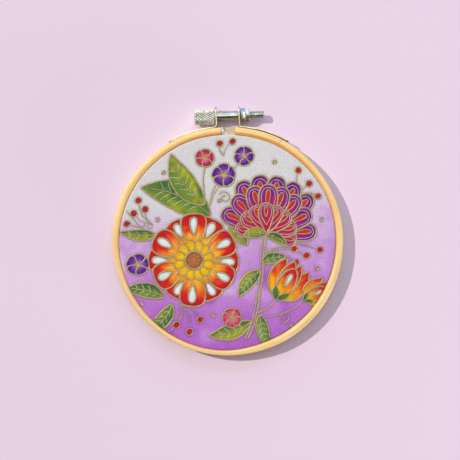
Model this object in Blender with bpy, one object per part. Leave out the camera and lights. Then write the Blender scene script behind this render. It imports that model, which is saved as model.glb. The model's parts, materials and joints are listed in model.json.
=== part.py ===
"""Hoop art: a painted cloth stretched in a two-ring wooden embroidery hoop with a clamp screw.

The hoop lies on its back. +Z is the hoop's axis and points out of the picture, +Y points to
the picture's top, where the clamp is, and the back faces of both rings lie at Z = 0.
Sizes are in millimetres and angles in degrees. Points become metres as they enter a mesh.
"""

import math

import bmesh
import bpy
from mathutils import Matrix, Vector

MM = 0.001
MERGE = 1e-6  # metres, for the poles and the seam of a turned shape
CLEARANCE = 0.3  # kept between any two pieces
STEP = 5.0  # degrees between the stations round a ring

# Wooden rings
OPENING_D = 101.6  # a 4 inch hoop, measured inside its outer ring
RING_WALL = 3.3
HOOP_DEPTH = 8.5
FRONT_ROUNDING = 1.5
BACK_ROUNDING = 0.5
FOLD_ROUNDING = 0.6  # inner ring's front edge, where the cloth turns over it
RING_GAP = 6.6
END_CHAMFER = 0.3

# Cloth
CLOTH_THICKNESS = 1.0
CLOTH_RECESS = 0.6  # picture face below the outer ring's front
CLOTH_HEM_HEIGHT = 1.2  # trimmed edge above the rings' back faces
FLARE_OUT = 3.0  # how far the trimmed edge stands out through the ring's gap
FLARE_HALF_WIDTH = 2.9
FLARE_FLAT_HALF_WIDTH = 1.5
FLARE_TOP = 6.6
FLARE_BOTTOM = 2.0
FLARE_INSET = 0.7  # the flare's inner side is narrower and lower by this

# Clamp: straps, screw, nut and rivets
CLAMP_LEAN = 2.0  # the screw rises to the right by this
EAR_SPAN = 10.9  # between the middles of the two ears
EAR_TOP = 63.6  # from the hoop's centre
STRAP_THICKNESS = 0.6
STRAP_WIDTH = 7.0
STRAP_BEND = 1.0  # inside radius of the bend at an ear's foot
STRAP_REACH = {"left": 30.9, "right": 31.8}  # strap's end, from the picture's top
EAR_CORNER = 2.8
STRAP_CORNER = 1.5
SCREW_AXIS = 59.2  # from the hoop's centre
HEAD_D = 7.4
HEAD_LENGTH = 9.6
HEAD_CHAMFER = 0.5
KNURL_DEPTH = 0.22
KNURL_ROWS = 12
TURNED_SIDES = 32
SHANK_D = 4.3
THREAD_D = 3.2
THREAD_END = 17.2  # from the middle of the clamp
THREAD_CHAMFER = 0.4
NUT_CORNER_D = 7.0
NUT_TURN = 8.0  # turn of the hexagon about the screw
NUT_HEX_LENGTH = 2.4
NUT_LENGTH = 4.4
NUT_COLLAR_D = 5.8
NUT_CHAMFER = 0.3
RIVET_ANGLE = 18.0  # from the picture's top
RIVET_HEAD_D = 4.0
RIVET_HEAD_HEIGHT = 0.8
RIVET_SHANK_D = 1.8
RIVET_SIDES = 20

# Worked out from the sizes above
OUTER_INSIDE_R = OPENING_D / 2
OUTER_R = OUTER_INSIDE_R + RING_WALL
CLOTH_R = OUTER_INSIDE_R - CLEARANCE
CLOTH_INSIDE_R = CLOTH_R - CLOTH_THICKNESS
INNER_R = CLOTH_INSIDE_R - CLEARANCE
INNER_INSIDE_R = INNER_R - RING_WALL
CLOTH_FACE = HOOP_DEPTH - CLOTH_RECESS
CLOTH_UNDER = CLOTH_FACE - CLOTH_THICKNESS
INNER_DEPTH = CLOTH_UNDER - CLEARANCE
MID_DEPTH = HOOP_DEPTH / 2
STRAP_INSIDE_R = OUTER_R + CLEARANCE
STRAP_OUTSIDE_R = STRAP_INSIDE_R + STRAP_THICKNESS
CLAMP_SHIFT = OUTER_R * math.sin(math.radians(CLAMP_LEAN))
EAR_INSIDE = EAR_SPAN / 2 - STRAP_THICKNESS / 2
EAR_OUTSIDE = EAR_SPAN / 2 + STRAP_THICKNESS / 2


def clear_scene():
    for obj in list(bpy.data.objects):
        bpy.data.objects.remove(obj, do_unlink=True)


def material(name, rgb, roughness, metallic=0.0):
    made = bpy.data.materials.new(name)
    made.use_nodes = True
    shader = made.node_tree.nodes["Principled BSDF"]
    shader.inputs["Base Color"].default_value = (*rgb, 1.0)
    shader.inputs["Roughness"].default_value = roughness
    shader.inputs["Metallic"].default_value = metallic
    made.diffuse_color = (*rgb, 1.0)
    return made


def empty(name, parent=None, turn=0.0):
    """An empty at its parent's place, turned about Z by degrees."""
    made = bpy.data.objects.new(name, None)
    bpy.context.scene.collection.objects.link(made)
    made.parent = parent
    made.rotation_euler = (0.0, 0.0, math.radians(turn))
    return made


def placed(name, shape, parent, finish=None, sharp=35.0):
    """Makes an object of a bmesh, smooth except where its faces meet at over `sharp` degrees."""
    bmesh.ops.remove_doubles(shape, verts=shape.verts, dist=MERGE)
    bmesh.ops.recalc_face_normals(shape, faces=shape.faces)
    mesh = bpy.data.meshes.new(name)
    shape.to_mesh(mesh)
    shape.free()
    mesh.shade_smooth()
    mesh.set_sharp_from_angle(angle=math.radians(sharp))
    made = bpy.data.objects.new(name, mesh)
    bpy.context.scene.collection.objects.link(made)
    made.parent = parent
    if finish:
        mesh.materials.append(finish)
    return made


def spun(profile, sides, closed):
    """A bmesh of a profile of (radius, height) points turned once about Z."""
    shape = bmesh.new()
    points = [shape.verts.new((r * MM, 0.0, z * MM)) for r, z in profile]
    ends = points[1:] + points[:1] if closed else points[1:]
    lines = [shape.edges.new(pair) for pair in zip(points, ends)]
    bmesh.ops.spin(
        shape,
        geom=points + lines,
        cent=(0.0, 0.0, 0.0),
        axis=(0.0, 0.0, 1.0),
        angle=math.tau,
        steps=sides,
        use_merge=True,
    )
    return shape


def corner(middle, radius, first, last, parts):
    """Points of an arc about middle, from the angle first to last, in degrees."""
    angles = [math.radians(first + (last - first) * i / parts) for i in range(parts + 1)]
    return [(middle[0] + radius * math.cos(a), middle[1] + radius * math.sin(a)) for a in angles]


def ring_section(inside, outside, depth, front_inside, front_outside):
    """A ring's section as (radius, height) points, with its four edges rounded."""
    back = BACK_ROUNDING
    return (
        corner((inside + back, back), back, 180, 270, 2)
        + corner((outside - back, back), back, 270, 360, 2)
        + corner((outside - front_outside, depth - front_outside), front_outside, 0, 90, 4)
        + corner((inside + front_inside, depth - front_inside), front_inside, 90, 180, 4)
    )


def cutter(name, shape, parent):
    """A hidden guide for a Boolean."""
    made = placed(name, shape, parent)
    made.hide_render = True
    made.display_type = "WIRE"
    return made


def cut(obj, tool):
    step = obj.modifiers.new(tool.name, "BOOLEAN")
    step.operation = "DIFFERENCE"
    step.object = tool


def cylinder(radius, low, high, sides):
    """A bmesh of a plain cylinder along Z, between two heights."""
    return spun([(0.0, low), (radius, low), (radius, high), (0.0, high)], sides, closed=False)


def about_radius(angle):
    """Turns local Z to point outwards at an angle from the picture's top, at mid depth."""
    outwards = Matrix.Rotation(-math.radians(angle), 4, "Z") @ Matrix.Rotation(-math.pi / 2, 4, "X")
    return Matrix.Translation((0.0, 0.0, MID_DEPTH * MM)) @ outwards


def along_screw(x=0.0):
    """Turns local Z to point along the screw, from a place on its axis in the clamp's frame."""
    place = Vector((CLAMP_SHIFT + x, SCREW_AXIS, MID_DEPTH)) * MM
    return Matrix.Translation(place) @ Matrix.Rotation(math.pi / 2, 4, "Y")


def make_outer_ring(hoop, wood):
    """The split outer ring: a turned ring with the gap and the two rivet holes cut out."""
    section = ring_section(OUTER_INSIDE_R, OUTER_R, HOOP_DEPTH, FRONT_ROUNDING, FRONT_ROUNDING)
    ring = placed("outer_ring", spun(section, round(360 / STEP), closed=True), hoop, wood)
    gap = bmesh.new()
    bmesh.ops.create_cube(gap, size=1.0)
    size = Vector((RING_GAP, 2 * RING_WALL + 2, 2 * HOOP_DEPTH)) * MM
    bmesh.ops.scale(gap, vec=size, verts=gap.verts)
    bmesh.ops.translate(gap, vec=Vector((0.0, OUTER_R - RING_WALL / 2, MID_DEPTH)) * MM, verts=gap.verts)
    cut(ring, cutter("ring_gap_cutter", gap, hoop))
    for side, sign in (("left", -1), ("right", 1)):
        bore = cylinder(RIVET_SHANK_D / 2 + CLEARANCE, OUTER_INSIDE_R - 3, OUTER_R + 3, RIVET_SIDES)
        tool = cutter(f"ring_rivet_cutter_{side}", bore, hoop)
        tool.matrix_local = about_radius(sign * RIVET_ANGLE)
        cut(ring, tool)
    rounding = ring.modifiers.new("end_chamfer", "BEVEL")
    rounding.width = END_CHAMFER * MM
    rounding.segments = 1
    rounding.limit_method = "ANGLE"
    rounding.angle_limit = math.radians(70)
    return ring


def make_inner_ring(hoop, wood):
    """The closed inner ring, which the cloth is stretched over."""
    section = ring_section(INNER_INSIDE_R, INNER_R, INNER_DEPTH, FRONT_ROUNDING / 2, FOLD_ROUNDING)
    return placed("inner_ring", spun(section, round(360 / STEP), closed=True), hoop, wood)


def cloth_angles():
    """Angles from the picture's top, close together across the ring's gap."""
    fine = 0.6
    edge = 4.2
    middle = [-edge + fine * i for i in range(round(2 * edge / fine) + 1)]
    start = 2 * STEP
    rest = [start - STEP / 2 + STEP * i for i in range(round((360 - 2 * start + STEP) / STEP) + 1)]
    return middle + rest


def eased(value, none, full):
    """0 at none, 1 at full and past it, with a smooth step between."""
    t = min(max((value - none) / (full - none), 0.0), 1.0)
    return t * t * (3 - 2 * t)


def flare(angle, height, inset):
    """How far the cloth's trimmed edge stands out through the gap: a flat-topped bump across the
    gap that grows from nothing at FLARE_TOP to its full size at FLARE_BOTTOM."""
    across = abs(math.radians((angle + 180) % 360 - 180)) * CLOTH_R
    side = eased(across, FLARE_HALF_WIDTH - inset, FLARE_FLAT_HALF_WIDTH - inset)
    down = eased(height, FLARE_TOP - inset, FLARE_BOTTOM)
    return FLARE_OUT * side * down


def make_cloth(hoop, fabric):
    """The stretched cloth: a flat face, a fold over the inner ring and a skirt between the rings."""
    outer_fold = FOLD_ROUNDING + CLEARANCE + CLOTH_THICKNESS
    inner_fold = FOLD_ROUNDING + CLEARANCE
    middle = (CLOTH_R - outer_fold, CLOTH_FACE - outer_fold)
    skirt = [4.6, 3.2, 2.0]
    outside = corner(middle, outer_fold, 90, 0, 4) + [(CLOTH_R, z) for z in skirt + [CLOTH_HEM_HEIGHT]]
    inside = [(CLOTH_INSIDE_R, z) for z in [CLOTH_HEM_HEIGHT] + skirt[::-1]]
    inside += corner(middle, inner_fold, 0, 90, 3)
    shape = bmesh.new()
    columns = []
    for angle in cloth_angles():
        along = Vector((math.sin(math.radians(angle)), math.cos(math.radians(angle)), 0.0))
        column = []
        for points, inset in ((outside, 0.0), (inside, FLARE_INSET)):
            for r, z in points:
                out = r + flare(angle, z, inset)
                column.append(shape.verts.new((along * out + Vector((0.0, 0.0, z))) * MM))
        columns.append(column)
    face_pole = shape.verts.new((0.0, 0.0, CLOTH_FACE * MM))
    under_pole = shape.verts.new((0.0, 0.0, CLOTH_UNDER * MM))
    for this, following in zip(columns, columns[1:] + columns[:1]):
        shape.faces.new((face_pole, this[0], following[0]))
        shape.faces.new((under_pole, this[-1], following[-1]))
        for i in range(len(this) - 1):
            shape.faces.new((this[i], this[i + 1], following[i + 1], following[i]))
    return placed("cloth", shape, hoop, fabric)


def strap_path(sign, reach):
    """Stations of a strap's gap-side face in the clamp's frame, from its end to its ear's top.

    Each is (place, outward normal, half width). The path follows the ring, bends outwards round
    a circle that touches both the ring's circle and the ear's line, and runs up the ear.
    """
    bend = STRAP_BEND + STRAP_THICKNESS
    x = sign * CLAMP_SHIFT + EAR_INSIDE + bend
    bend_middle = Vector((x, math.sqrt((STRAP_INSIDE_R + bend) ** 2 - x**2)))
    foot = math.degrees(math.atan2(bend_middle.x, bend_middle.y))
    reach = reach + sign * CLAMP_LEAN
    half = STRAP_WIDTH / 2
    stations = []

    def rounded(distance, radius):
        """Half width at a distance from an end whose corners have this radius."""
        short = max(radius - distance, 0.0)
        return half - radius + math.sqrt(max(radius**2 - short**2, 0.0))

    corner_steps = 5
    ends = [STRAP_CORNER * (1 - math.cos(math.radians(90 * i / corner_steps))) for i in range(corner_steps)]
    length = math.radians(reach - foot) * STRAP_INSIDE_R
    rest_steps = 8
    rest = [STRAP_CORNER + (length - STRAP_CORNER) * i / rest_steps for i in range(rest_steps)]
    for distance in ends + rest:
        angle = math.radians(reach) - distance / STRAP_INSIDE_R
        normal = Vector((math.sin(angle), math.cos(angle)))
        stations.append((normal * STRAP_INSIDE_R, normal, rounded(distance, STRAP_CORNER)))
    bend_steps = 6
    for i in range(bend_steps + 1):
        angle = math.radians(foot + (90 - foot) * i / bend_steps)
        normal = Vector((math.sin(angle), math.cos(angle)))
        stations.append((bend_middle - normal * bend, normal, half))
    line = bend_middle.x - bend
    for i in range(corner_steps + 1):
        distance = EAR_CORNER * (1 - math.cos(math.radians(90 - 90 * i / corner_steps)))
        place = Vector((line, EAR_TOP - distance))
        stations.append((place, Vector((1.0, 0.0)), rounded(distance, EAR_CORNER)))
    return stations


def make_strap(side, sign, clamp, steel):
    """A steel strap along the ring whose end is bent up as the ear that holds the screw."""
    shape = bmesh.new()
    rings = []
    for place, normal, half in strap_path(sign, STRAP_REACH[side]):
        far = place + normal * STRAP_THICKNESS
        corners = [(place, -half), (far, -half), (far, half), (place, half)]
        rings.append([shape.verts.new(Vector((sign * p.x, p.y, MID_DEPTH + z)) * MM) for p, z in corners])
    for this, following in zip(rings, rings[1:]):
        for i in range(4):
            j = (i + 1) % 4
            shape.faces.new((this[i], this[j], following[j], following[i]))
    shape.faces.new(rings[0])
    shape.faces.new(rings[-1])
    strap = placed(f"strap_{side}", shape, clamp, steel)
    hole_r = (SHANK_D if side == "left" else THREAD_D) / 2 + CLEARANCE
    ear_tool = cutter(f"ear_hole_cutter_{side}", cylinder(hole_r, -3.0, 3.0, TURNED_SIDES), clamp)
    ear_tool.matrix_local = along_screw(sign * EAR_SPAN / 2)
    cut(strap, ear_tool)
    rivet_hole = cylinder(RIVET_SHANK_D / 2 + CLEARANCE, OUTER_R - 2, OUTER_R + 4, RIVET_SIDES)
    rivet_tool = cutter(f"strap_rivet_cutter_{side}", rivet_hole, clamp)
    rivet_tool.matrix_local = about_radius(sign * RIVET_ANGLE + CLAMP_LEAN)
    cut(strap, rivet_tool)
    return strap


def make_screw(clamp, steel):
    """The clamp screw: a knurled head, a plain shank between the ears and a threaded end."""
    head_end = EAR_OUTSIDE + CLEARANCE
    head_start = head_end + HEAD_LENGTH
    head_r = HEAD_D / 2
    knurl_start = -head_start + HEAD_CHAMFER
    knurl_length = HEAD_LENGTH - 2 * HEAD_CHAMFER
    shoulder = EAR_INSIDE - CLEARANCE
    profile = [(0.0, -head_start), (head_r - HEAD_CHAMFER, -head_start)]
    profile += [(head_r, knurl_start + knurl_length * i / KNURL_ROWS) for i in range(KNURL_ROWS + 1)]
    profile += [
        (head_r - HEAD_CHAMFER, -head_end),
        (SHANK_D / 2, -head_end),
        (SHANK_D / 2, shoulder),
        (THREAD_D / 2, shoulder),
        (THREAD_D / 2, THREAD_END - THREAD_CHAMFER),
        (THREAD_D / 2 - THREAD_CHAMFER, THREAD_END),
        (0.0, THREAD_END),
    ]
    shape = spun(profile, TURNED_SIDES, closed=False)
    bmesh.ops.remove_doubles(shape, verts=shape.verts, dist=MERGE)
    sink_knurl(shape, knurl_start, knurl_length)
    screw = placed("clamp_screw", shape, clamp, steel, sharp=30.0)
    screw.matrix_local = along_screw()
    return screw


def sink_knurl(shape, start, length):
    """Sinks every other point of the head's grid, and splits its faces along the ridges left."""
    def cell(vert):
        row = (vert.co.z / MM - start) / length * KNURL_ROWS
        turn = math.atan2(vert.co.y, vert.co.x) / math.tau * TURNED_SIDES
        return round(row), round(turn)

    on_head = [v for v in shape.verts if v.co.xy.length > (HEAD_D / 2 - 0.01) * MM]
    low = {v for v in on_head if 0 < cell(v)[0] < KNURL_ROWS and sum(cell(v)) % 2}
    ridges = [f for f in shape.faces if low & set(f.verts) and len(f.verts) == 4]
    for face in ridges:
        high = [v for v in face.verts if v not in low]
        if len(high) == 2:
            bmesh.utils.face_split(face, high[0], high[1])
    for vert in low:
        sunk = 1 - KNURL_DEPTH * MM / vert.co.xy.length
        vert.co.x *= sunk
        vert.co.y *= sunk


def make_nut(clamp, steel):
    """The fixed nut against the right ear: a hexagon with a round collar, bored for the screw."""
    sides = 24
    near = EAR_OUTSIDE + CLEARANCE
    collar_r = NUT_COLLAR_D / 2
    corner_r = NUT_CORNER_D / 2
    bore_r = THREAD_D / 2 + CLEARANCE
    hex_end = near + NUT_HEX_LENGTH
    end = near + NUT_LENGTH
    levels = [
        (bore_r, near, False),
        (corner_r - NUT_CHAMFER, near, True),
        (corner_r, near + NUT_CHAMFER, True),
        (corner_r, hex_end - NUT_CHAMFER, True),
        (corner_r - NUT_CHAMFER, hex_end, True),
        (collar_r, hex_end, False),
        (collar_r, end - NUT_CHAMFER, False),
        (collar_r - NUT_CHAMFER, end, False),
        (bore_r, end, False),
    ]
    shape = bmesh.new()
    rings = []
    for radius, z, six_sided in levels:
        ring = []
        for i in range(sides):
            angle = math.tau * i / sides
            from_flat = (angle + math.pi / 6) % (math.pi / 3) - math.pi / 6
            apothem = radius * math.cos(math.pi / 6)
            r = apothem / math.cos(from_flat) if six_sided else radius
            ring.append(shape.verts.new(Vector((r * math.cos(angle), r * math.sin(angle), z)) * MM))
        rings.append(ring)
    for this, following in zip(rings, rings[1:] + rings[:1]):
        for i in range(sides):
            j = (i + 1) % sides
            shape.faces.new((this[i], this[j], following[j], following[i]))
    nut = placed("clamp_nut", shape, clamp, steel)
    nut.matrix_local = along_screw() @ Matrix.Rotation(math.radians(NUT_TURN), 4, "Z")
    return nut


def make_rivet(side, sign, hoop, steel):
    """A domed rivet through the strap and the ring."""
    seat = STRAP_OUTSIDE_R + CLEARANCE
    head_r = RIVET_HEAD_D / 2
    shank_r = RIVET_SHANK_D / 2
    sphere = (head_r**2 + RIVET_HEAD_HEIGHT**2) / (2 * RIVET_HEAD_HEIGHT)
    centre = seat + RIVET_HEAD_HEIGHT - sphere
    edge = math.degrees(math.asin(head_r / sphere))
    dome = corner((0.0, centre), sphere, 90 - edge, 90, 4)
    inner_end = OUTER_INSIDE_R + CLEARANCE
    profile = [(0.0, inner_end), (shank_r, inner_end), (shank_r, seat)] + dome
    rivet = placed(f"rivet_{side}", spun(profile, RIVET_SIDES, closed=False), hoop, steel)
    rivet.matrix_local = about_radius(sign * RIVET_ANGLE)
    return rivet


def stand_on_origin(hoop, pieces):
    """Moves the hoop so that the middle of the whole part's footprint is at the origin."""
    bpy.context.view_layer.update()
    points = [piece.matrix_world @ vert.co for piece in pieces for vert in piece.data.vertices]
    for axis in (0, 1):
        values = [point[axis] for point in points]
        hoop.location[axis] -= (min(values) + max(values)) / 2


def build():
    clear_scene()
    lacquered = material("lacquered_bamboo", (0.88, 0.62, 0.30), 0.38)
    plain = material("plain_bamboo", (0.80, 0.58, 0.33), 0.60)
    fabric = material("painted_cotton", (0.60, 0.38, 0.62), 0.85)
    strip = material("nickel_plated_strip", (0.78, 0.75, 0.66), 0.30, 1.0)
    turned = material("nickel_plated_screw", (0.68, 0.70, 0.69), 0.26, 1.0)
    zinc = material("zinc_plated_nut", (0.62, 0.70, 0.78), 0.30, 1.0)
    hoop = empty("hoop_centre")
    clamp = empty("clamp_frame", hoop, turn=CLAMP_LEAN)
    pieces = [
        make_outer_ring(hoop, lacquered),
        make_inner_ring(hoop, plain),
        make_cloth(hoop, fabric),
    ]
    for side, sign in (("left", -1), ("right", 1)):
        pieces.append(make_strap(side, sign, clamp, strip))
        pieces.append(make_rivet(side, sign, hoop, strip))
    pieces.append(make_nut(clamp, zinc))
    pieces.append(make_screw(clamp, turned))
    stand_on_origin(hoop, pieces)


build()
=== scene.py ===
"""Looks of the hoop art: cotton painted over resist lines, stretched in a bamboo embroidery hoop.

Shapes are worked out in millimetres from the middle of the hoop, on the surface that it lies on:
+X to the picture's right, +Y to its top, +Z out of its face. They become metres in a mesh.
"""

import json
import math

import bmesh
import bpy
import numpy as np
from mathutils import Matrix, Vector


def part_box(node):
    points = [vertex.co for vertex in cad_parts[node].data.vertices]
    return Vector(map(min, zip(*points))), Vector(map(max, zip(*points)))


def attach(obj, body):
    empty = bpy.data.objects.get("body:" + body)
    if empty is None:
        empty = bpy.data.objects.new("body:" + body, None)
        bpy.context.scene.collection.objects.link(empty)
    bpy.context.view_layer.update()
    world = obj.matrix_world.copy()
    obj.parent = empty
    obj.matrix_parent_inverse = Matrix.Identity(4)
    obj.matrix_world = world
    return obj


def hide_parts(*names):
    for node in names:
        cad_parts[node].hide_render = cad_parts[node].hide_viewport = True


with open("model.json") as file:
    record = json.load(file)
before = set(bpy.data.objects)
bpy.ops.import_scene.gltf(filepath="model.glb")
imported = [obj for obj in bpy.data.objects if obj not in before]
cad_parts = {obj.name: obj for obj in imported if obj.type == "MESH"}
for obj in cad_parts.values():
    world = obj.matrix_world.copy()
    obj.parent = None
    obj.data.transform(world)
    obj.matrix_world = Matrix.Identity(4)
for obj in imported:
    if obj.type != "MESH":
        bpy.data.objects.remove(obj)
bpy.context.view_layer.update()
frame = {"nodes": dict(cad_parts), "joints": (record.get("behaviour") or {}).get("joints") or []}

# ------------------------------------------------------------------ the table and the light
# The hoop lies on pale lilac paper. A key light from the upper left throws its short shadow to
# the lower right. The lacquer and the metal mirror a soft box overhead and a cool window past the
# picture's top, and a low box at the lower right lifts the sides that the key leaves dark.

MM = 0.001
PAPER = "#EAD6E9"
SCALE = 0.4706  # millimetres to the photograph's pixel, at the outer ring's widest part
HOOP_AT = (228.0, 241.0)  # the hoop's middle in the photograph, in pixels
FRAME_SIZE = 460
LENS = 85.0
SENSOR = 36.0
WIDEST = 7.0  # height of the outer ring's widest part
KEY_TILT = 43.0  # from straight above
KEY_FROM = 152.0  # anticlockwise from the picture's right
ROOM_LIGHT, WINDOW_LIGHT = 0.05, 0.95


def sRGB(code):
    """The three sRGB shares of a hex value."""
    return np.array([int(code[i : i + 2], 16) / 255 for i in (1, 3, 5)])


def linear(colour):
    """A hex value, or an array of sRGB shares, as linear red, green, blue and alpha, by the sRGB
    transfer curve."""
    shares = sRGB(colour) if isinstance(colour, str) else np.clip(colour, 0, 1)
    shares = np.where(shares <= 0.04045, shares / 12.92, ((shares + 0.055) / 1.055) ** 2.4)
    return np.concatenate([shares, np.ones((*shares.shape[:-1], 1))], -1)


def add(tree, kind, inputs=None, stops=(), **settings):
    """Adds a node with its settings. Each of its inputs takes a value, another node's output, or
    another node, for the first output that is in use. stops are a ramp's places and colours."""
    made = tree.nodes.new("ShaderNode" + kind)
    for key, value in settings.items():
        setattr(made, key, value)
    for key, value in (inputs or {}).items():
        if isinstance(value, bpy.types.Node):
            value = next(output for output in value.outputs if output.enabled)
        if isinstance(value, bpy.types.NodeSocket):
            tree.links.new(value, made.inputs[key])
        else:
            made.inputs[key].default_value = value
    if stops:
        ramp = made.color_ramp.elements
        ramp[0].position, ramp[1].position = stops[0][0], stops[-1][0]
        for place, _ in stops[1:-1]:
            ramp.new(place)
        for element, (_, code) in zip(ramp, stops):
            element.color = linear(code)
    return made


def new_material(name):
    """An empty material and its node tree."""
    made = bpy.data.materials.new(name)
    made.use_nodes = True
    made.node_tree.nodes.clear()
    return made, made.node_tree


def surface(tree, inputs):
    """The material's shader, joined to its output."""
    add(tree, "OutputMaterial", {"Surface": add(tree, "BsdfPrincipled", inputs)})


def place_object(name, data):
    """Puts a mesh, lamp or camera in the scene as an object."""
    made = bpy.data.objects.new(name, data)
    bpy.context.scene.collection.objects.link(made)
    return made


hoop_low, hoop_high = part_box("inner_ring")
hoop_centre = np.array([(hoop_low.x + hoop_high.x) / 2, (hoop_low.y + hoop_high.y) / 2, 0.0])

# Matt paper: even and soft, with no gloss to speak of.
paper_material, tree = new_material("matt_lilac_paper")
surface(tree, {"Base Color": linear(PAPER), "Roughness": 0.95, "Specular IOR Level": 0.1})
table = bpy.data.meshes.new("paper")
table.from_pydata([(-2, -2, 0), (2, -2, 0), (2, 2, 0), (-2, 2, 0)], [], [(0, 1, 2, 3)])
table.materials.append(paper_material)
paper = place_object("paper", table)

lens = bpy.data.cameras.new("camera")
lens.lens = LENS
lens.sensor_width = SENSOR
lens.clip_start = 0.01
camera = place_object("camera", lens)
off_centre = [(FRAME_SIZE / 2 - HOOP_AT[0]) * SCALE, (HOOP_AT[1] - FRAME_SIZE / 2) * SCALE]
distance = FRAME_SIZE * SCALE * LENS / SENSOR
camera.location = hoop_centre + np.array([*off_centre, distance + WIDEST]) * MM
bpy.context.scene.camera = camera


def light(name, kind, energy, place, colour, **settings):
    """A light at a place, in metres from the hoop's middle, that points at the hoop."""
    made = bpy.data.lights.new(name, kind)
    made.energy = energy
    made.color = linear(colour)[:3]
    for key, value in settings.items():
        setattr(made, key, value)
    lamp = place_object(name, made)
    lamp.location = hoop_centre + np.array(place)
    towards = -np.array(place)
    flat = math.hypot(towards[0], towards[1])
    lamp.rotation_euler = (math.atan2(flat, -towards[2]), 0, math.atan2(-towards[0], towards[1]))
    lamp.visible_camera = False


tilt, turn = math.radians(KEY_TILT), math.radians(KEY_FROM)
key_place = (math.sin(tilt) * math.cos(turn), math.sin(tilt) * math.sin(turn), math.cos(tilt))
light("key", "SUN", 2.14, key_place, "#FFF6EA", angle=math.radians(1.2))
light("overhead_box", "AREA", 1.15, (0.0, 0.14, 0.85), "#FFFAF0", shape="SQUARE", size=0.4)
light("window_box", "AREA", 0.8, (0.0, 0.62, 0.62), "#DDEAFF", shape="RECTANGLE", size=0.7, size_y=0.1)
light("right_fill", "AREA", 2.8, (0.5, -0.5, 0.07), "#F6F2FF", shape="RECTANGLE", size=0.5, size_y=0.1)

# The room is dim, and grows brighter and cooler towards the window past the picture's top. A low
# view looks past the paper's edge and finds a wall of the same pale lilac.
world = bpy.data.worlds.new("studio")
bpy.context.scene.world = world
world.use_nodes = True
tree = world.node_tree
tree.nodes.clear()
way = add(tree, "SeparateXYZ", {"Vector": add(tree, "TexCoord").outputs["Generated"]})
window = add(tree, "MapRange", {"Value": way.outputs[1], "From Min": -0.35, "From Max": 0.8})
window = add(tree, "Math", {0: window, 1: 1.4}, operation="POWER")
glow = add(tree, "MapRange", {"Value": window, "To Min": ROOM_LIGHT, "To Max": WINDOW_LIGHT})
tint = add(tree, "Mix", {"Factor": window, 6: linear("#F8F6FF"), 7: linear("#D4E4FF")}, data_type="RGBA")
room = add(tree, "Background", {"Color": tint, "Strength": glow})
wall = add(tree, "Background", {"Color": linear(PAPER), "Strength": 1.0})
looked_at = add(tree, "LightPath").outputs["Is Camera Ray"]
add(tree, "OutputWorld", {"Surface": add(tree, "MixShader", {0: looked_at, 1: room, 2: wall})})
bpy.context.scene.view_settings.view_transform = "Standard"

# ------------------------------------------------------------------ inner ring
# A strip of bamboo bent into a closed ring and sanded, with no lacquer. The cloth is stretched
# over its front edge, so only its back and its inner wall are seen, from behind.

RING_STATIONS = 540
BACK_ROUNDING = 0.5
CLOTH_R = 50.5  # outside of the cloth's skirt
CLOTH_FACE = 7.9
CLOTH_THICKNESS = 0.35  # of real cotton with its paint, thinner than its solid
FOLD_R = 0.8  # outside radius of the fold over the inner ring
SNUG = 0.02  # left between pieces that touch
INNER_R = CLOTH_R - CLOTH_THICKNESS - SNUG
INNER_INSIDE_R = 45.9
INNER_DEPTH = CLOTH_FACE - CLOTH_THICKNESS - SNUG
INNER_ROUNDING = 0.75  # of its front edge towards the middle
OUTER_R = 54.1
STILL_INSIDE, STILL_OUTSIDE = 40.0, 57.5  # radii past which nothing moves with the bent hoop
BENT_TO = 55.4  # radius up to which what lies on the outer ring moves with it whole
WALL_STEP = 0.8  # about the length of a part of a ring's wall


def arc(middle, radius, first, last, parts=6):
    """Points on a circle about middle, from the angle first to last, in degrees."""
    angle = np.radians(np.linspace(first, last, parts + 1))
    return np.stack([middle[0] + radius * np.cos(angle), middle[1] + radius * np.sin(angle)], 1)


def ring_section(inside, outside, depth, front_inside, front_outside):
    """A ring's section as radius and height, once round: four rounded edges joined by lines,
    which are split into even parts."""
    back = BACK_ROUNDING
    corners = np.concatenate(
        [
            arc((inside + back, back), back, 180, 270),
            arc((outside - back, back), back, 270, 360),
            arc((outside - front_outside, depth - front_outside), front_outside, 0, 90, 10),
            arc((inside + front_inside, depth - front_inside), front_inside, 90, 180, 10),
        ]
    )
    pieces = []
    for start, end in zip(corners, np.roll(corners, -1, axis=0)):
        parts = max(1, round(np.hypot(*(end - start)) / WALL_STEP))
        pieces.append(start + (end - start) * (np.arange(parts) / parts)[:, None])
    return np.concatenate(pieces)


def carried_round(profile, angle):
    """A profile of radius and height carried round the hoop's axis, at angles clockwise from the
    picture's top: x is the radius times the angle's sine, and y the radius times its cosine."""
    radius, height = profile[..., 0], profile[..., 1]
    return np.stack([radius * np.sin(angle), radius * np.cos(angle), height], -1)


def grid_faces(rows, columns, closed_rows=True, closed_columns=True):
    """Quads between the neighbours in a grid of points, and the row and the column of each
    corner, which count on past the last where the grid is closed."""
    i, j = np.meshgrid(
        np.arange(rows if closed_rows else rows - 1),
        np.arange(columns if closed_columns else columns - 1),
        indexing="ij",
    )
    row = np.stack([i, i, i + 1, i + 1], -1).reshape(-1, 4)
    column = np.stack([j, j + 1, j + 1, j], -1).reshape(-1, 4)
    return (row % rows) * columns + column % columns, row, column


def run_along(points):
    """How far along a line each of its points is."""
    return np.concatenate([[0.0], np.cumsum(np.linalg.norm(np.diff(points, axis=0), axis=1))])


def run_round(points):
    """How far each point is along a closed line, and the line's whole length after them."""
    return run_along(np.concatenate([points, points[:1]]))


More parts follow.
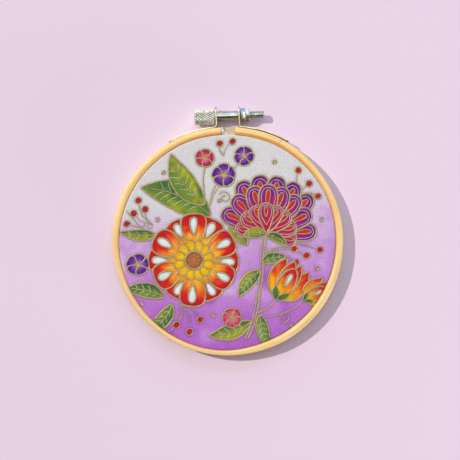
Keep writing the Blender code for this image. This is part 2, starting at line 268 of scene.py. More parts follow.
# The hoop is bent by hand, so it isn't quite round and its wood isn't equally thick all round.
# Clockwise from the gap, in degrees: how far the line between the cloth and the outer ring, and
# the outer ring's outside, lie outside their circles.
OUT_OF_ROUND = [
    (0, -0.60, -0.60), (8, -0.50, -0.50), (15, -0.35, -0.30), (22, -0.25, -0.10), (30, 0.0, 0.10),
    (45, 0.12, -0.10), (60, 0.35, 0.0), (72, 0.40, 0.15), (90, 0.30, 0.12), (120, 0.20, 0.10),
    (135, 0.05, 0.07), (150, 0.0, 0.0), (160, 0.10, -0.20), (168, 0.25, -0.35), (176, 0.75, -0.28),
    (186, 1.0, -0.27), (212, 0.95, -0.20), (235, 0.88, -0.10), (255, 0.80, 0.03), (266, 0.80, 0.22),
    (276, 0.60, 0.35), (290, 0.42, 0.30), (304, 0.12, 0.18), (312, -0.05, -0.05), (320, -0.20, -0.35),
    (335, -0.18, -0.35), (345, -0.35, -0.42), (352, -0.50, -0.55), (360, -0.60, -0.60),
]
DEGREES = np.arange(0.0, 361.0)


def smoothed(values):
    """Values at each whole degree, averaged twice over 9 degrees round the circle."""
    for _ in range(2):
        values = np.mean([np.roll(values[:-1], shift) for shift in range(-4, 5)], axis=0)
        values = np.append(values, values[0])
    return values


bent = np.array(OUT_OF_ROUND)
bent_inside, bent_outside = (smoothed(np.interp(DEGREES, bent[:, 0], bent[:, k])) for k in (1, 2))


def settled(points):
    """The points moved in or out with the hoop: not at all near its middle and at the screw, by
    the first figure above at the cloth's edge and by the second at the outer ring's outside,
    and in between by a share that goes evenly with the radius."""
    r = np.hypot(points[:, 0], points[:, 1])
    turn = np.degrees(np.arctan2(points[:, 0], points[:, 1])) % 360
    at_cloth = np.interp(r, [STILL_INSIDE, CLOTH_R, OUTER_R], [0, 1, 0])
    at_outside = np.interp(r, [CLOTH_R, OUTER_R, BENT_TO, STILL_OUTSIDE], [0, 1, 1, 0])
    inside = np.interp(turn, DEGREES, bent_inside) * at_cloth
    outside = np.interp(turn, DEGREES, bent_outside) * at_outside
    return scaled_out(points, 1 + (inside + outside) / np.maximum(r, 1.0))


def scaled_out(points, share):
    """The points with their distance from the hoop's axis multiplied by a share of their own."""
    return points * np.stack([share, share, np.ones(len(points))], 1)


def mesh_piece(name, points, faces, materials, uv=None, sharp=40.0, merge=False):
    """An object of points in millimetres from the hoop's middle and lists of faces. uv has a
    pair in millimetres for each corner of each face. A closed shape's faces are turned outwards,
    by the sign of its volume: the sum of the corners' triple products over its triangles."""
    made = bpy.data.meshes.new(name)
    place = settled(points) * MM + hoop_centre
    made.from_pydata(place.tolist(), [], [f for part in faces for f in part.tolist()])
    if uv is not None:
        layer = made.uv_layers.new(name="flat_length")
        layer.data.foreach_set("uv", (np.asarray(uv) * MM).ravel())
    shape = bmesh.new()
    shape.from_mesh(made)
    if merge:
        bmesh.ops.remove_doubles(shape, verts=shape.verts, dist=1e-7)
    if shape.calc_volume(signed=True) < 0:
        bmesh.ops.reverse_faces(shape, faces=shape.faces)
    shape.to_mesh(made)
    shape.free()
    made.shade_smooth()
    made.set_sharp_from_angle(angle=math.radians(sharp))
    for material in materials:
        made.materials.append(material)
    return place_object(name, made)


def bamboo_grain(tree, pale, middle, dark):
    """The strip's coordinates, and the bamboo's colour and relief on them: fibres 0.42 mm wide
    and 24 mm long, with darker flecks of 0.3 by 5 mm where the sanding has cut bundles open."""
    strip = add(tree, "UVMap", uv_map="flat_length")
    fibres = add(tree, "Mapping", {"Vector": strip, "Scale": (1 / (24 * MM), 1 / (0.42 * MM), 1)})
    fine = add(tree, "TexNoise", {"Vector": fibres, "Scale": 1.0, "Detail": 4.0, "Roughness": 0.6})
    flecks = add(tree, "Mapping", {"Vector": strip, "Scale": (1 / (5 * MM), 1 / (0.3 * MM), 1)})
    dashes = add(tree, "TexNoise", {"Vector": flecks, "Scale": 1.0, "Detail": 2.0})
    tones = add(tree, "ValToRGB", {"Fac": fine}, [(0.36, dark), (0.47, middle), (0.63, pale)])
    fleck = add(tree, "MapRange", {"Value": dashes, "From Min": 0.62, "From Max": 0.74})
    colour = add(tree, "Mix", {"Factor": fleck, 6: tones, 7: linear(dark)}, data_type="RGBA")
    relief = add(tree, "Bump", {"Height": fine, "Strength": 0.25, "Distance": 0.1 * MM})
    return strip, colour, relief


# Sanded bamboo: dull, dry and a little rough, tan, with its fibres open.
sanded_bamboo, tree = new_material("sanded_bamboo")
_, colour, relief = bamboo_grain(tree, "#E3BE86", "#D6A969", "#B98546")
surface(tree, {"Base Color": colour, "Roughness": 0.62, "Normal": relief, "Specular IOR Level": 0.3})

section = ring_section(INNER_INSIDE_R, INNER_R, INNER_DEPTH, INNER_ROUNDING, FOLD_R - CLOTH_THICKNESS)
angle = np.arange(RING_STATIONS)[:, None] * math.tau / RING_STATIONS
points = carried_round(np.broadcast_to(section, (RING_STATIONS, *section.shape)), angle)
faces, row, column = grid_faces(RING_STATIONS, len(section))
uv = np.stack([row * math.tau * INNER_R / RING_STATIONS, run_round(section)[column]], -1)
inner_ring = mesh_piece("bamboo_inner_ring", points.reshape(-1, 3), [faces], [sanded_bamboo], uv)
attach(inner_ring, "hoop")
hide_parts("inner_ring")

# ------------------------------------------------------------------ the picture on the cloth
# A garden of flowers, leaves and berries drawn freehand in gold resist, then flooded with dye
# that runs wet in wet inside the lines. Its plan is made here, and the cloth and lines use it.

BOLD, MEDIUM, FINE, MIDRIB, HAIR = 0.85, 0.7, 0.6, 0.55, 0.5  # widths of gold lines
CLEAR = 0.34  # width of clear lines
WOBBLE = 0.5  # about how far a drawn line strays, from one side of its plan to the other
PAINTED_R = 50.15  # the drawing goes on this far, over the fold
LINE_STEP = 0.5  # between a line's points

YELLOW, AMBER, ORANGE, RED, BRIGHT_RED = "#F4CB10", "#F6A714", "#EE7A1C", "#D81C20", "#E8302A"
CRIMSON, MAGENTA, PLUM, VIOLET = "#C2214F", "#B02780", "#82208A", "#6B2D9E"
MOSS, LEAF, LIME, PALE_LEAF = "#466C34", "#6A8D35", "#A8AA22", "#92AF60"
SIENNA, WHITE, PINK = "#B05F39", "#E9EEF0", "#D8506E"
WHITE_DROP = [(0, WHITE), (1, WHITE)]

fields = []  # painted fields, each over those before it, as paint below stores them
gold_lines = []  # drawn lines: number of fields that they lie over, points, width
clear_lines = []


def mottle(x, y, size, seed):
    """Soft patches about size across, from 0 to 1: random values at the points of a square
    lattice, with a smooth step between neighbours."""
    values = np.random.default_rng(seed).random((97, 89))
    column, row = np.floor(x / size), np.floor(y / size)
    across, up = x / size - column, y / size - row
    across, up = across * across * (3 - 2 * across), up * up * (3 - 2 * up)
    column, row = column.astype(int), row.astype(int)

    def at(i, j):
        return values[(column + i) % 97, (row + j) % 89]

    low = at(0, 0) * (1 - across) + at(1, 0) * across
    high = at(0, 1) * (1 - across) + at(1, 1) * across
    return low * (1 - up) + high * up


def freehand(points):
    """The points, each moved by up to 0.7 of WOBBLE each way, as a hand strays over about 6 mm,
    with a finer tremble over 2.2 mm."""
    points = np.asarray(points, float)
    x, y = points.T
    drift = [mottle(x, y, 6.0, seed) + 0.4 * mottle(x, y, 2.2, seed + 5) - 0.7 for seed in (11, 12)]
    return points + WOBBLE * np.stack(drift, 1)


def polar(centre, radius, degrees):
    """The point at a distance and a direction, anticlockwise from the right, from a centre."""
    turn = math.radians(degrees)
    return (centre[0] + radius * math.cos(turn), centre[1] + radius * math.sin(turn))


def laid_out(base, tip):
    """The base as an array, the step from it to the tip, and the direction to that step's left."""
    base = np.array(base, float)
    along = np.array(tip, float) - base
    return base, along, np.array([-along[1], along[0]]) / np.hypot(*along)


def blade(base, tip, width, belly, bend=0.0):
    """Outline of a petal, leaf or drop. At a share t of the way from base to tip its half width
    goes as t**belly[0] * (1 - t)**belly[1], and its middle bows sideways by bend * 4t(1 - t)."""
    base, along, side = laid_out(base, tip)
    t = (1 - np.cos(np.linspace(0, np.pi, 31))) / 2
    foot, head = belly
    most = (foot / (foot + head)) ** foot * (head / (foot + head)) ** head
    half = (width / 2 * t**foot * (1 - t) ** head / most)[:, None] * side
    middle = base + t[:, None] * along + (4 * bend * t * (1 - t))[:, None] * side
    return np.concatenate([middle + half, (middle - half)[-2:0:-1]])


def curve(*ends):
    """A smooth line from the first of four points to the last, a cubic Bezier curve."""
    t = np.linspace(0, 1, 40)[:, None]
    a, b, c, d = (np.array(p, float) for p in ends)
    return (1 - t) ** 3 * a + 3 * (1 - t) ** 2 * t * b + 3 * (1 - t) * t**2 * c + t**3 * d


def paint(outline, start, end, colours, spread, width=BOLD, across=False):
    """Floods an outline with dye and draws the outline in gold. The dye changes from start to
    end with the distance from start or, across, in straight bands square to the way to end."""
    outline = freehand(outline)
    fields.append((outline, np.array(start, float), np.array(end, float), colours, spread, across))
    gold_lines.append((len(fields), np.concatenate([outline, outline[:1]]), width))


def draw(points, width=FINE, lines=gold_lines):
    """An open line on top of what is there."""
    lines.append((len(fields), freehand(points), width))


def dot(centre, width):
    """A round drop of gold: a line no longer than it is wide."""
    half = np.array([width / 2, 0])
    gold_lines.append((len(fields), np.array([centre - half, centre, centre + half]), width))


def petal(base, tip, width, belly, colours, spread=0.2, line=BOLD, start=None, end=None, bend=0.0):
    """A painted blade, whose dye changes from start to end, or else from its base to its tip."""
    start, end = base if start is None else start, tip if end is None else end
    paint(blade(base, tip, width, belly, bend), start, end, colours, spread, line)


def spot(centre, radius, colours, spread=0.0, line=FINE, parts=20):
    """A painted round spot, whose dye changes from its middle to its rim."""
    outline = [polar(centre, radius, 360 * i / parts) for i in range(parts)]
    paint(outline, centre, polar(centre, radius, 0), colours, spread, line)


def leaf(base, tip, width, bend=0.0, tones=(LIME, LEAF, MOSS), pairs=4):
    """A pointed leaf, lighter on one side, with a gold midrib and thin clear side veins."""
    shape = blade(base, tip, width, (0.75, 0.95), bend)
    base, along, side = laid_out(base, tip)
    edges = [base + 0.5 * along + way * side * width * 0.55 for way in (1, -1)]
    paint(shape, *edges, list(zip((0.1, 0.5, 0.9), tones)), 0.25, across=True)
    t = np.linspace(0.0, 0.86, 20)[:, None]
    draw(base + t * along + 4 * bend * t * (1 - t) * side, MIDRIB)
    t = np.linspace(0.12, 1, 8)[:, None]
    for share in np.linspace(0.2, 0.68, pairs):
        root = base + share * along + 4 * bend * share * (1 - share) * side
        reach = 0.36 * width * math.sin(math.pi * share) ** 0.7
        for way in (-1, 1):
            vein = root + t * (0.16 * along + way * reach * side) - 0.05 * along * t**2
            draw(vein, CLEAR, clear_lines)


def berry(centre, radius=1.55, colour=RED):
    """A round berry, darker at its rim."""
    spot(centre, radius, [(0.2, colour), (1.0, "#A8121C")])


def spray(root, *ends, colour=RED):
    """Berries, each on the end of its own bowed stalk from a shared root."""
    for end in ends:
        foot, along, side = laid_out(root, end)
        middle = foot + along / 2 + 0.18 * np.hypot(*along) * side
        draw(curve(foot, middle, middle, end), HAIR)
    for end in ends:
        berry(end, colour=colour)


def small_flower(centre, radius, turned, colours):
    """Five round petals about a gold-ringed yellow heart."""
    for i in range(5):
        foot, tip = (polar(centre, radius * share, turned + 72 * i) for share in (0.16, 1))
        petal(foot, tip, radius * 1.02, (0.7, 0.38), colours, line=MEDIUM, start=centre)
    spot(centre, radius * 0.2, [(0, YELLOW), (1, AMBER)], parts=16)


def sun_flower(centre, radius, petals):
    """Broad round petals, yellow at the heart and red at the rim, each with a white drop."""
    flame = [(0.28, YELLOW), (0.5, AMBER), (0.66, ORANGE), (0.8, RED), (1.0, "#C5141E")]
    random = np.random.default_rng(3)
    lean = random.uniform(-3, 3, petals)
    reach = radius * random.uniform(0.95, 1.05, petals)
    for i in [*range(0, petals, 2), *range(1, petals, 2)]:
        degrees = 360 / petals * i + lean[i]
        foot, low = (polar(centre, radius * share, degrees) for share in (0.2, 0.55))
        tip, high = (polar(centre, reach[i] * share, degrees) for share in (1, 0.92))
        petal(foot, tip, radius * 0.58, (0.95, 0.36), flame, start=centre)
        petal(low, high, radius * 0.17, (1.0, 0.5), WHITE_DROP, 0.0, MEDIUM)
        for off in (-5.5, 5.5):
            ends = [polar(centre, radius * (0.22 + 0.2 * k), degrees + off * k) for k in (1, 2)]
            draw(np.linspace(*ends, 8), CLEAR, clear_lines)
    for i in range(petals):
        foot, tip = (polar(centre, radius * share, 360 / petals * (i + 0.5)) for share in (0.15, 0.46))
        stamen = [(0.2, SIENNA), (0.6, YELLOW), (1, AMBER)]
        petal(foot, tip, radius * 0.2, (0.9, 0.5), stamen, 0.1, FINE, centre)
    spot(centre, radius * 0.2, [(0, "#C67C3E"), (1, SIENNA)], 0.1, BOLD, 48)
    for i in range(8):
        dot(polar(centre, radius * 0.12, 45 * i), 0.7)
    dot(centre, 0.9)


def fan_flower(base, aim, length):
    """A half-open bloom seen from the side: three rows of petals, the shortest in front."""
    back = [(0.1, CRIMSON), (0.5, MAGENTA), (0.8, PLUM), (1.0, "#6A1C82")]
    middle = [(0.1, CRIMSON), (0.55, "#BE2468"), (0.85, PLUM)]
    front = [(0.1, "#B81838"), (0.6, CRIMSON), (1.0, MAGENTA)]
    for share, wide, leans, colours in (
        (1.0, 0.34, (-38, 38, -19, 19, 0), back),
        (0.84, 0.32, (-74, 74, -52, 52, -28, 28, -9, 9), middle),
        (0.52, 0.26, (-88, 88, -62, 62, -36, 36, -12, 12), front),
    ):
        for lean in leans:
            parts = (1, 0.3, 0.94, 0.56, 0.9)
            tip, low, high, foot, head = (polar(base, length * share * k, aim + lean) for k in parts)
            petal(base, tip, length * wide, (1.05, 0.42), colours)
            inner = blade(low, high, length * wide * 0.72, (1.05, 0.45))
            draw(np.concatenate([inner, inner[:1]]), CLEAR, clear_lines)
            petal(foot, head, length * wide * 0.24, (1.0, 0.5), [(0, RED), (1, BRIGHT_RED)], 0.0, HAIR)


def tulip(base, tip, width):
    """A cup of petals, those behind bowed outwards, yellow at the foot and red above, with a
    white drop and two green sepals."""
    tip = np.array(tip, float)
    base, along, side = laid_out(base, tip)
    flame = [(0.12, YELLOW), (0.4, AMBER), (0.62, ORANGE), (0.95, RED)]
    for lean, rise, wide, belly, bow in (
        (0.42, -0.02, 0.52, (0.6, 0.75), 0.16),
        (0.13, 0.02, 0.42, (0.7, 0.7), 0.05),
    ):
        for way in (-1, 1):
            head = tip + way * side * width * lean + rise * along
            petal(base, head, width * wide, belly, flame, 0.25, bend=way * width * bow)
    front = [(0.1, YELLOW), (0.45, ORANGE), (0.8, RED)]
    petal(base, base + 0.86 * along, width * 0.56, (0.6, 0.6), front, 0.25, end=tip)
    petal(base + 0.34 * along, base + 0.7 * along, width * 0.15, (1.0, 0.5), WHITE_DROP, 0.0, MEDIUM)
    for way in (-1, 1):
        foot, head = base - 0.04 * along, base + 0.26 * along + way * side * width * 0.26
        petal(foot, head, width * 0.2, (0.7, 0.8), [(0, MOSS), (0.4, LEAF)], 0.1, FINE, base, tip)


def tendril(start, heading, size, way):
    """A curl that winds in: its radius shrinks evenly over one turn and a quarter."""
    turn = np.linspace(0, 1, 60)
    radius = size * (1 - 0.78 * turn)
    angle = math.radians(heading) - way * math.pi / 2 + way * turn * math.tau * 1.25
    centre = np.array(start, float) - size * np.array([math.cos(angle[0]), math.sin(angle[0])])
    draw(centre + np.stack([radius * np.cos(angle), radius * np.sin(angle)], 1))


# The stems lie under everything else.
draw(curve((8, -46), (16, -30), (14, -12), (17, 4)), BOLD)
draw(curve((9.2, -46), (17.4, -30), (15.4, -12), (18.4, 4)), BOLD)
draw(curve((-8, 8), (-10, 18), (-8, 24), (-2, 31)))
draw(curve((-9, 14), (-8, 24), (0, 30), (7, 39)))
draw(curve((-10, 16), (-12, 26), (-12, 30), (-10, 38)))
draw(curve((14, -34), (18, -32), (20, -30), (23, -27)), BOLD)
draw(curve((14, -36), (24, -36), (32, -32), (36, -27)))
draw(curve((-34, 2), (-40, 4), (-42, 8), (-47, 14)))
tendril((-4, 22), 60, 3.0, -1)
tendril((25, -38), -30, 3.0, 1)
tendril((-36, 4), 200, 3.0, -1)

leaf((-8, 12), (-41, 25), 14, -3.0, pairs=6)
leaf((-11, 17), (-27, 41), 11, 2.5, (LEAF, LIME, MOSS), 5)
leaf((9, -2), (1, 15), 7, 1.0)
leaf((15, -14), (5, -26), 6.5, -1.0, (MOSS, LEAF, LIME))
leaf((16, -10), (27, -7), 5, 0.6, (MOSS, LEAF, PALE_LEAF), 3)
leaf((11, -38), (-9, -44), 7, 1.6)
leaf((15, -35), (20, -50), 6, -1.0, (MOSS, LEAF, PALE_LEAF))
leaf((-30, -26), (-47, -22), 6.5, -1.2)
leaf((-26, -30), (-36, -42), 6.5, 1.0, (MOSS, LEAF, LIME))
leaf((-34, 3), (-50, 4), 5.5, 1.0, pairs=3)
spray((17, -6), (31, -3.5), (37, -7), (32, -10), (43, -4))
spray((-22, -30), (-24, -39), (-18, -42), (-13, -37), (-28, -43))
spray((-36, 8), (-44, 13), (-39, 15), (-47, 8), (-42, 19), colour=CRIMSON)
spray((34, 22), (38, 27), (33, 33), (42, 21))
spray((-2, 40), (-4, 46), (2, 47))
fan_flower((18, 3), 78, 28)
for way in (-1, 1):
    leaf((18, 3), polar((18, 3), 11, 78 + 105 * way), 4.6, -way, (MOSS, LEAF, LIME), 2)
sun_flower((-16, -9), 21, 12)
tulip((23, -27), (33, -11), 15)
tulip((36, -28), (47, -21), 10)
violet = [(0.2, "#B58AD2"), (0.6, VIOLET), (1.0, "#4E1E86")]
small_flower((-2, 31), 5.4, 20, violet)
small_flower((7.5, 40), 4.6, 60, violet)
small_flower((-11, 39), 4.4, 5, [(0.2, "#E58AA4"), (0.7, CRIMSON), (1.0, CRIMSON)])
small_flower((2, -36), 4.6, 40, [(0.2, "#E58AA4"), (0.7, PINK), (1.0, CRIMSON)])
small_flower((-42, -11), 5.0, 10, violet)
white_at = (-33, 10), (-4, 19), (30, -40), (42, -13), (-7, -35), (-40, -29), (44, 10), (22, 37), (-30, 32)
for place in white_at:
    berry(place, 0.9, WHITE)


def inside(points, outline):
    """Which points lie in a closed outline: those where a line to the right crosses it an odd
    number of times."""
    a, b = outline, np.roll(outline, -1, axis=0)
    x, y = points[:, :1], points[:, 1:]
    crosses = (a[:, 1] > y) != (b[:, 1] > y)
    rise = np.where(b[:, 1] == a[:, 1], 1e-9, b[:, 1] - a[:, 1])
    where = a[:, 0] + (y - a[:, 1]) * (b[:, 0] - a[:, 0]) / rise
    return (crosses & (x < where)).sum(1) % 2 == 1


def in_box(points, outline):
    """Which points lie in the upright box round an outline."""
    return ((points > outline.min(0)) & (points < outline.max(0))).all(1)


def resampled(points):
    """The same line with its points an even step apart."""
    run = run_along(points)
    places = np.linspace(0, run[-1], max(3, round(run[-1] / LINE_STEP) + 1))
    return np.stack([np.interp(places, run, points[:, k]) for k in (0, 1)], 1)


def seen_runs(lines):
    """The parts of the lines that no later field covers and that aren't under the outer ring,
    as runs of points with their width."""
    runs = []
    for order, points, width in lines:
        points = resampled(points)
        seen = np.hypot(*points.T) < PAINTED_R
        for outline, *_ in fields[order:]:
            near = in_box(points, outline)
            if near.any():
                seen[near] &= ~inside(points[near], outline)
        for run in np.split(np.arange(len(points)), np.nonzero(np.diff(seen))[0] + 1):
            if seen[run[0]] and len(run) > 2:
                runs.append((points[run], width))
    return runs


gold_runs = seen_runs(gold_lines)
clear_runs = seen_runs(clear_lines)

# ------------------------------------------------------------------ the cloth
# One piece of white plain-woven cotton, stretched flat over the inner ring, turned down between
# the two rings and trimmed there. In the outer ring's gap its bare edge stands out, creased.

FACE_R = CLOTH_R - FOLD_R  # where the flat face ends
HEM = 1.2  # height of the trimmed edge
FACE_CELLS = 172
FLARE_OUT, FLARE_HALF_WIDTH, FLARE_FLAT_HALF_WIDTH = 3.8, 3.6, 3.2
FLARE_TOP, FLARE_BOTTOM = 7.2, 5.4
CREASE = np.array([(-3.7, 53.4), (-0.9, 51.2)])  # the crease across the edge in the gap, which carries a painted highlight
CREASE_WIDTH, CREASE_HEIGHT = 0.45, 0.5
CREASED_BELOW = 6.2  # height at which the crease and the lifted corner are whole
CREASED_HALF_WIDTHS = 3.5, 3.1  # of the edge: where they begin, and where they are whole
LEFT_CORNER_LIFT = 1.7  # how far the edge's left corner is pulled up
LIFTED_FROM, LIFTED_WHOLE = -0.8, -3.0  # to the right of the gap's middle
DYE_ENDS = CLOTH_R - 0.2, CLOTH_R + 1.2  # flat distances from the middle where the dye fades out
MARGIN = "#C8B698"  # undyed cotton at the bare edge, drawn a darker tan than the face
MARGIN_PAINTED_SHADE = "#DCD0CC"  # its left corner, greyed with painted shade
SHADE_FROM, SHADE_WHOLE = -1.6, -3.0  # to the right of the gap's middle
WASH = [  # the ground's dye, from the picture's foot to its head
    (-44, "#B266C8"), (-28, "#BC78CE"), (-12, "#C795D6"), (2, "#D0AFDC"), (11, "#D6C6E0"), (20, "#D9D8D8"),
]


def eased(value, none, full):
    """0 at none and 1 at full, with a smooth step between."""
    t = np.clip((value - none) / (full - none), 0, 1)
    return t * t * (3 - 2 * t)


def skirt_profile():
    """Radius, height and flat distance from the middle, down the fold and the skirt: a quarter
    circle, then an upright wall to the hem, whose rows are closer where it turns outwards."""
    turn = np.linspace(0, np.pi / 2, 7)[1:]
    top, low = CLOTH_FACE - FOLD_R, FLARE_BOTTOM - 0.2
    fall = np.concatenate([np.linspace(top, low, 11)[1:], np.linspace(low, HEM, 6)[1:]])
    radius = np.concatenate([FACE_R + FOLD_R * np.sin(turn), np.full(len(fall), CLOTH_R)])
    height = np.concatenate([CLOTH_FACE - FOLD_R * (1 - np.cos(turn)), fall])
    flat = np.concatenate([FACE_R + FOLD_R * turn, FACE_R + FOLD_R * np.pi / 2 + top - fall])
    return radius, height, flat


# The face is a square grid drawn onto a disc: x = a * sqrt(1 - b*b/2), y = b * sqrt(1 - a*a/2).
side_points = np.linspace(-1, 1, FACE_CELLS + 1)
a, b = np.meshgrid(side_points, side_points, indexing="ij")
face = (np.stack([a * np.sqrt(1 - b * b / 2), b * np.sqrt(1 - a * a / 2)], -1) * FACE_R).reshape(-1, 2)
face_quads, _, _ = grid_faces(FACE_CELLS + 1, FACE_CELLS + 1, False, False)
number = np.arange((FACE_CELLS + 1) ** 2).reshape(FACE_CELLS + 1, -1)
rim = np.concatenate([number[:-1, 0], number[-1, :-1], number[:0:-1, -1], number[0, :0:-1]])

# The skirt hangs from the face's rim, row under row, and stands out where the ring has its gap.
way_out = face[rim] / FACE_R
radius, height, flat_radius = skirt_profile()
rows = len(radius)
across_gap = np.abs(np.arctan2(*way_out.T)) * CLOTH_R
stand_out = eased(across_gap, FLARE_HALF_WIDTH, FLARE_FLAT_HALF_WIDTH) * FLARE_OUT
out = radius[:, None] + stand_out * eased(height, FLARE_TOP, FLARE_BOTTOM)[:, None]
up = np.broadcast_to(height[:, None, None], (*out.shape, 1))
skirt = np.concatenate([way_out * out[..., None], up], -1)
crease_line = CREASE[1] - CREASE[0]
from_start = skirt[..., :2] - CREASE[0]
along_crease = np.clip((from_start @ crease_line) / (crease_line @ crease_line), 0, 1)
from_crease = np.linalg.norm(from_start - along_crease[..., None] * crease_line, axis=-1)
in_gap = eased(across_gap, *CREASED_HALF_WIDTHS)
on_crease = np.exp(-((from_crease / CREASE_WIDTH) ** 2)) * in_gap
lifted = eased(skirt[..., 0], LIFTED_FROM, LIFTED_WHOLE) * in_gap
raised = LEFT_CORNER_LIFT * lifted + CREASE_HEIGHT * on_crease
skirt[..., 2] += raised * eased(height, FLARE_TOP, CREASED_BELOW)[:, None]
ring_numbers = np.concatenate([rim[None], len(face) + np.arange(rows * len(rim)).reshape(rows, -1)])
_, row, column = grid_faces(rows + 1, len(rim), False, True)
skirt_quads = ring_numbers[row, column % len(rim)]
points = np.concatenate([np.column_stack([face, np.full(len(face), CLOTH_FACE)]), skirt.reshape(-1, 3)])
flat_place = np.concatenate([face, (way_out * flat_radius[:, None, None]).reshape(-1, 2)])


def blend_stops(value, stops):
    """The sRGB colour at each value, straight between its two nearest stops."""
    places = [place for place, _ in stops]
    table = np.array([sRGB(code) for _, code in stops])
    return np.stack([np.interp(value, places, table[:, k]) for k in range(3)], -1)


def toned(colour, other, share):
    """A colour moved a share of the way to another, both sRGB."""
    return colour + (other - colour) * share[:, None]


def wash(x, y):
    """The ground's colour as sRGB: lilac that deepens to purple downwards and fades out near the
    top, its level shifted by large soft patches as a wet wash spreads."""
    level = y - 0.16 * x + 20 * (mottle(x, y, 19, 21) - 0.5) + 8 * (mottle(x, y, 7, 22) - 0.5)
    pale = eased(mottle(x, y, 11, 23), 0.62, 0.95) * eased(level, 12, 2)
    deep = eased(mottle(x, y, 9, 24), 0.55, 0.95) * eased(level, 8, -6)
    blots = eased(mottle(x, y, 2.6, 25) * eased(level, 14, 4), 0.45, 0.8)
    colour = toned(blend_stops(level, WASH), sRGB("#DCC6EA"), 0.55 * pale)
    colour = toned(colour, sRGB("#C07CC8"), 0.3 * blots)
    return toned(colour, sRGB("#A348BE"), 0.6 * deep)


def dyed(points):
    """The dye at each point of the flat cloth as sRGB: the wash, then each field over it, whose
    stops are shifted by streaks that run out from its start or, across, by soft patches."""
    colour = wash(*points.T)
    for number, (outline, start, end, stops, spread, across) in enumerate(fields):
        near = np.nonzero(in_box(points, outline))[0]
        here = near[inside(points[near], outline)]
        if not len(here):
            continue
        x, y = points[here].T
        from_start, way = points[here] - start, end - start
        if across:
            share = (from_start @ way) / (way @ way)
            streaks = mottle(x, y, 2.6, number)
        else:
            share = np.hypot(*from_start.T) / np.hypot(*way)
            heading = np.arctan2(from_start[:, 1], from_start[:, 0])
            streaks = 0.6 * mottle(heading * 16, share * 2.5, 1.0, number)
            streaks = streaks + 0.4 * mottle(x, y, 2.2, number + 1)
        tone = 1 + 0.07 * (mottle(x, y, 3.0, number + 2) - 0.5)
        colour[here] = blend_stops(share + spread * (streaks - 0.5) * 2, stops) * tone[:, None]
    return colour


def nearest(points, targets, parts=200, far=9.0):
    """Distance from each point to the nearest target, true up to 3 mm: a part of the points looks
    at the targets in the box round it and 3 mm beyond, and has far where there are none."""
    found = []
    for some in np.array_split(points.astype(np.float32), parts):
        reach = np.abs(some - some.mean(0)).max(0) + 3
        close = targets[(np.abs(targets - some.mean(0)) < reach).all(1)]
        if len(close):
            gap = some[:, None] - close[None]
            found.append(np.sqrt((gap**2).sum(-1).min(1)))
        else:
            found.append(np.full(len(some), far))
    return np.concatenate(found)


bare = eased(np.hypot(*flat_place.T), *DYE_ENDS)
# The bare edge's left corner is greyed with painted shade.
margin_with_painted_shade = toned(sRGB(MARGIN), sRGB(MARGIN_PAINTED_SHADE), eased(flat_place[:, 0], SHADE_FROM, SHADE_WHOLE))
colour = np.clip(toned(dyed(flat_place), margin_with_painted_shade, bare), 0, 1)
# A painted highlight along the crease
colour = toned(colour, sRGB("#FFFCFA"), np.concatenate([np.zeros(len(face)), on_crease.ravel()]))
line_gap = nearest(flat_place, np.concatenate([run for run, _ in gold_runs]).astype(np.float32))

# Painted cotton: matt and softly fuzzy, its weave a low relief. Thick threads and a fine grain
# took the dye unevenly, and it is darker in a rim where it dried against a line.
PITCH = 0.45  # between threads that lie side by side; real ones are near 0.4 mm
SLUB = (1 / (4 * MM), 1 / (0.5 * MM))  # thick and thin places, 4 mm long and 0.5 mm wide


def cotton(name, back):
    """The cloth's material. Its back shows the dye that soaked through, paler."""
    made, tree = new_material(name)
    dye = add(tree, "Attribute", attribute_name="dye").outputs["Color"]
    gap = add(tree, "Attribute", attribute_name="line_gap").outputs["Fac"]
    flat = add(tree, "UVMap", uv_map="flat_length")
    xy = add(tree, "SeparateXYZ", {"Vector": flat})
    waves, slubs = [], []
    for axis, scale in enumerate(((*SLUB, 1), (*SLUB[::-1], 1))):
        phase = add(tree, "Math", {0: xy.outputs[axis], 1: math.pi / (PITCH * MM)}, operation="MULTIPLY")
        waves.append(add(tree, "Math", {0: phase}, operation="SINE"))
        drawn = add(tree, "Mapping", {"Vector": flat, "Scale": scale})
        slubs.append(add(tree, "TexNoise", {"Vector": drawn, "Scale": 1.0, "Detail": 2.0}))
    weave = add(tree, "Math", dict(enumerate(waves)), operation="MULTIPLY")
    threads = add(tree, "Math", dict(enumerate(slubs)), operation="ADD")
    grain = add(tree, "TexNoise", {"Vector": flat, "Scale": 1 / (0.5 * MM), "Detail": 2.0})
    shades = []
    for value, low, high, dark, bright in (
        (threads, 0.7, 1.3, 0.93, 1.05),
        (grain, 0.3, 0.7, 0.78, 1.2),
        (gap, 0.35, 1.25, 0.80, 1.0),
    ):
        ends = {"From Min": low, "From Max": high, "To Min": dark, "To Max": bright}
        shades.append(add(tree, "MapRange", {"Value": value, **ends}))
    shade = add(tree, "Math", {0: shades[0], 1: shades[1]}, operation="MULTIPLY")
    shade = add(tree, "Math", {0: shade, 1: shades[2]}, operation="MULTIPLY")
    if back:
        dye = add(tree, "Mix", {"Factor": 0.5, 6: dye, 7: linear("#D9D3D6")}, data_type="RGBA")
    tint = add(tree, "VectorMath", {0: dye, "Scale": shade}, operation="SCALE")
    rough = add(tree, "Math", {0: weave, 1: 0.6}, operation="MULTIPLY")
    relief = add(tree, "Math", {0: rough, 1: threads}, operation="ADD")
    bump = add(tree, "Bump", {"Height": relief, "Strength": 0.5, "Distance": 0.08 * MM})
    matt = {"Roughness": 0.9, "Specular IOR Level": 0.25, "Sheen Weight": 0.15}
    surface(tree, {"Base Color": tint, "Normal": bump, **matt})
    return made


quads = [face_quads, skirt_quads]
sides = [cotton("painted_cotton_face", False), cotton("painted_cotton_back", True)]
cloth = mesh_piece("painted_cloth", points, quads, sides, flat_place[np.concatenate(quads)], sharp=180.0)


